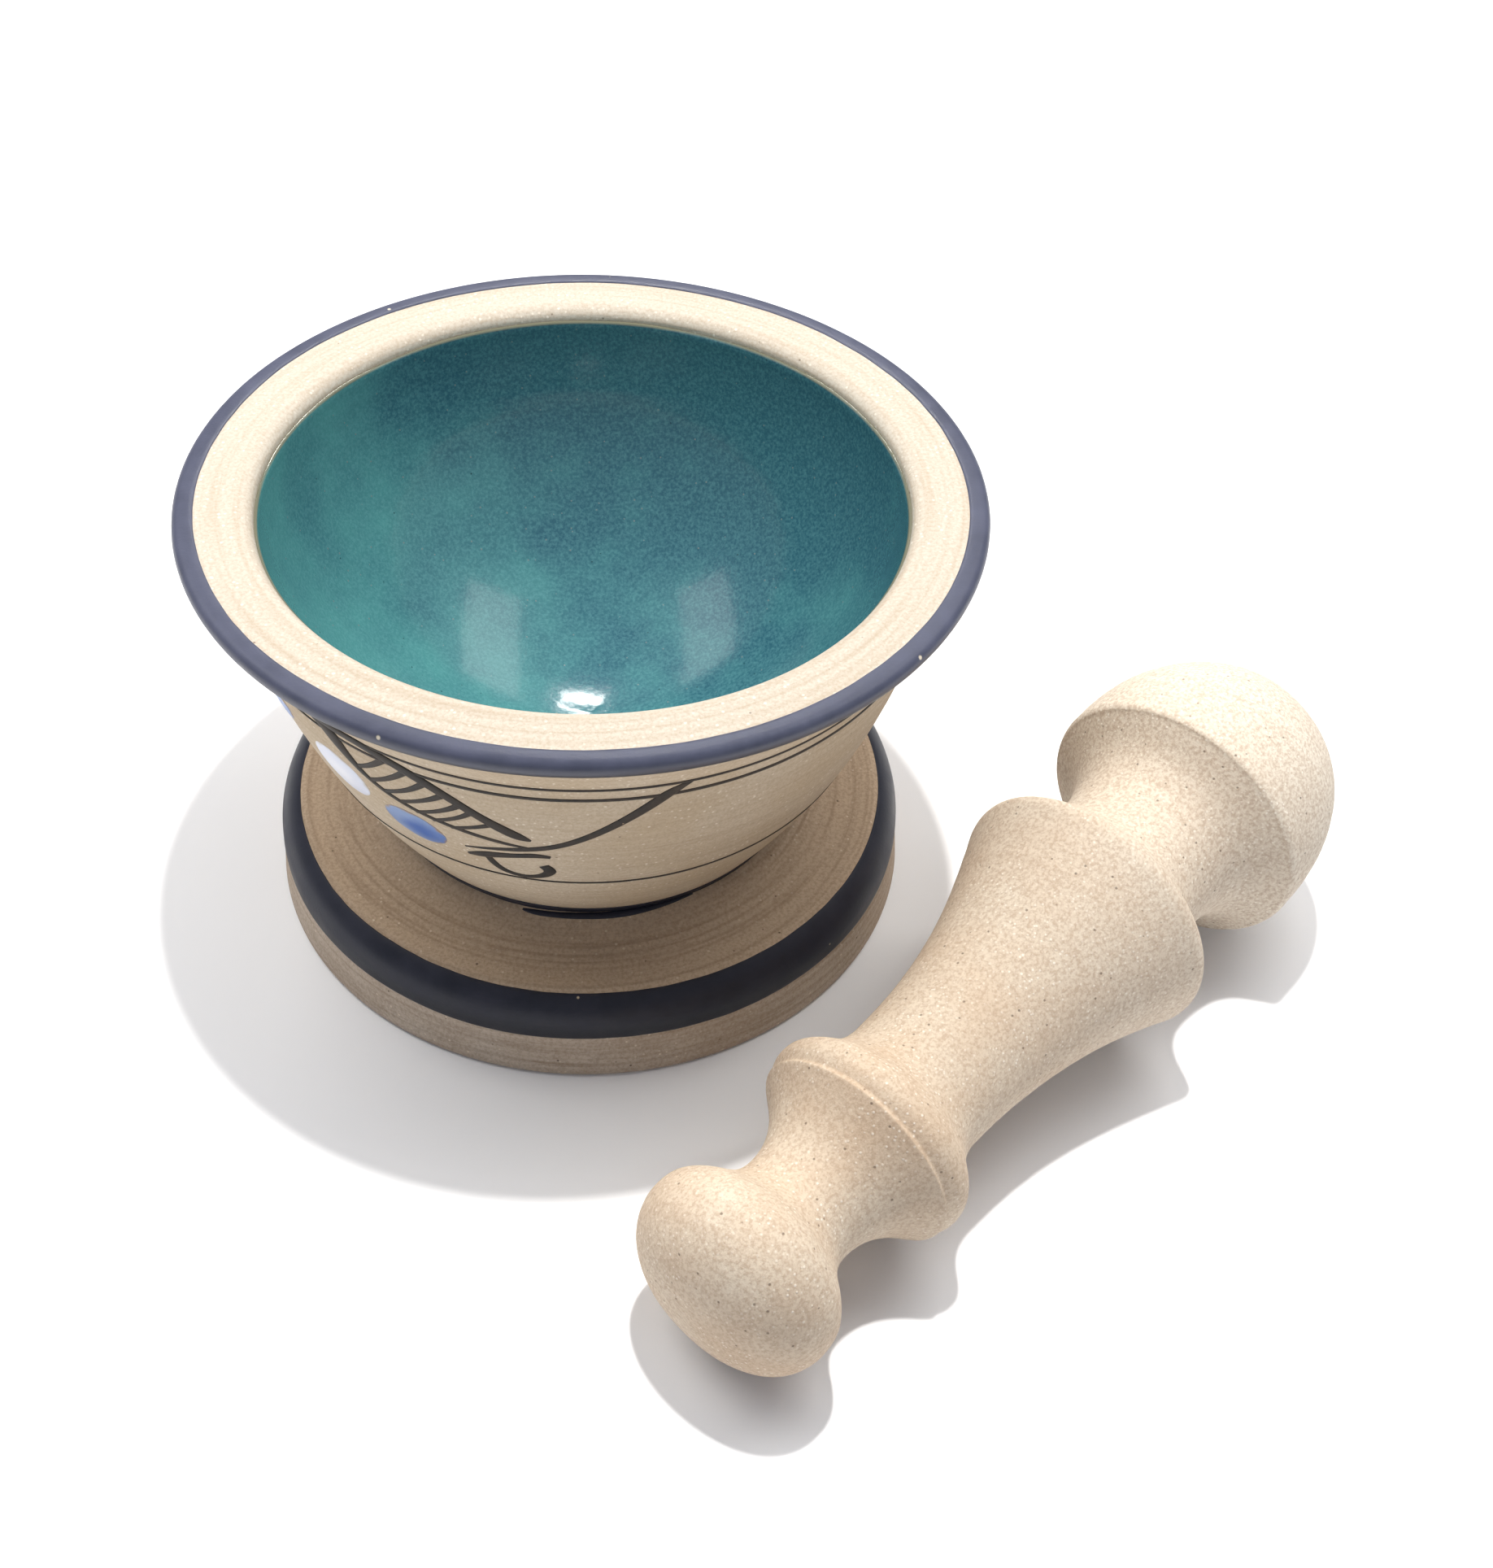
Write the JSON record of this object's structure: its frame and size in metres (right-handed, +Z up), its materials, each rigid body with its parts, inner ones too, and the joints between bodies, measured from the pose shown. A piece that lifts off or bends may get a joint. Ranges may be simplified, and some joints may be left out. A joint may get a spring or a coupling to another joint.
{
  "type": "mortar and pestle",
  "caption": "Hand-thrown stoneware mortar on a pedestal foot, glazed inside, with a turned stoneware pestle lying beside it, for grinding spices, herbs or seeds.",
  "frame": {"origin": "centre of the mortar's flat base, on the surface it stands on", "axes": "+Z up along the mortar's axis; the pestle lies on the +X, -Y side, its knob away from -Y"},
  "size_m": [0.1527, 0.1445, 0.0632],
  "materials": {
    "bowl_clay": "matt",
    "foot_clay": "matt",
    "turquoise_glaze": "gloss",
    "rim_slip": "satin",
    "foot_slip": "satin",
    "waist_slip": "satin",
    "painted_line": "satin",
    "pestle_clay": "matt"
  },
  "bodies": {
    "mortar": {"bowl": "bowl_clay", "pedestal_foot": "foot_clay", "glaze_lining": "turquoise_glaze", "rim_band": "rim_slip", "foot_band": "foot_slip", "waist_band": "waist_slip", "upper_line": "painted_line", "second_line": "painted_line", "lower_line": "painted_line"},
    "pestle": {"pestle": "pestle_clay"}
  },
  "joints": [
    {"name": "pestle_lift", "type": "slide", "parent": "mortar", "child": "pestle", "axis": [0, 0, 1], "range_m": [0, 0.1]}
  ]
}
